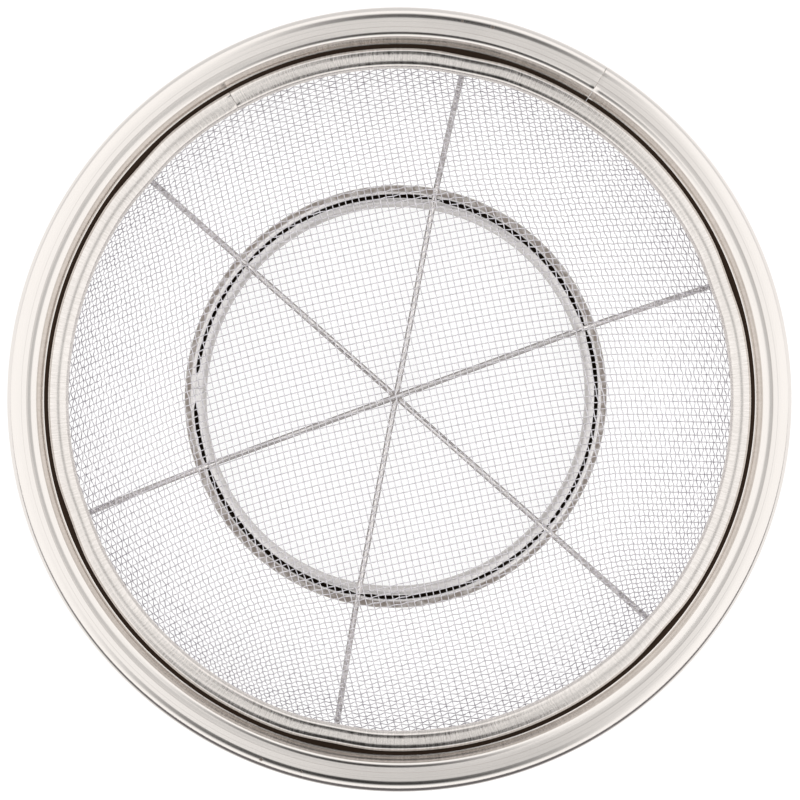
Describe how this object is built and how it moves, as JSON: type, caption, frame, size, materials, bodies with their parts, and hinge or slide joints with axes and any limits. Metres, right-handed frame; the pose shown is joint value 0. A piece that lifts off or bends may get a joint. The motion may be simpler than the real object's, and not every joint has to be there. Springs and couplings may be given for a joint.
{
  "type": "mesh strainer",
  "caption": "Round shallow strainer basket: a wire-cloth bowl clamped in a formed steel rim, with crossed support wires beneath it and a rolled foot ring to stand on.",
  "frame": {"origin": "On the surface that the foot ring stands on, under the middle of the bowl.", "axes": "+Z is up, out of the bowl's mouth. +X and +Y lie on the standing surface, +X to the right and +Y up in the picture, which looks down into the bowl."},
  "size_m": [0.2352, 0.2352, 0.0689],
  "materials": {
    "hoop_sheet": "satin, with a warm tone",
    "mesh_wire": "drawn wire, bright",
    "support_wire": "drawn wire, satin",
    "foot_sheet": "satin, with a warm tone"
  },
  "bodies": {
    "root": {"outer_hoop": "hoop_sheet", "inner_hoop": "hoop_sheet", "mesh_bowl": "mesh_wire", "support_wire_1": "support_wire", "support_wire_2": "support_wire", "support_wire_3": "support_wire", "foot_ring": "foot_sheet"}
  },
  "joints": []
}
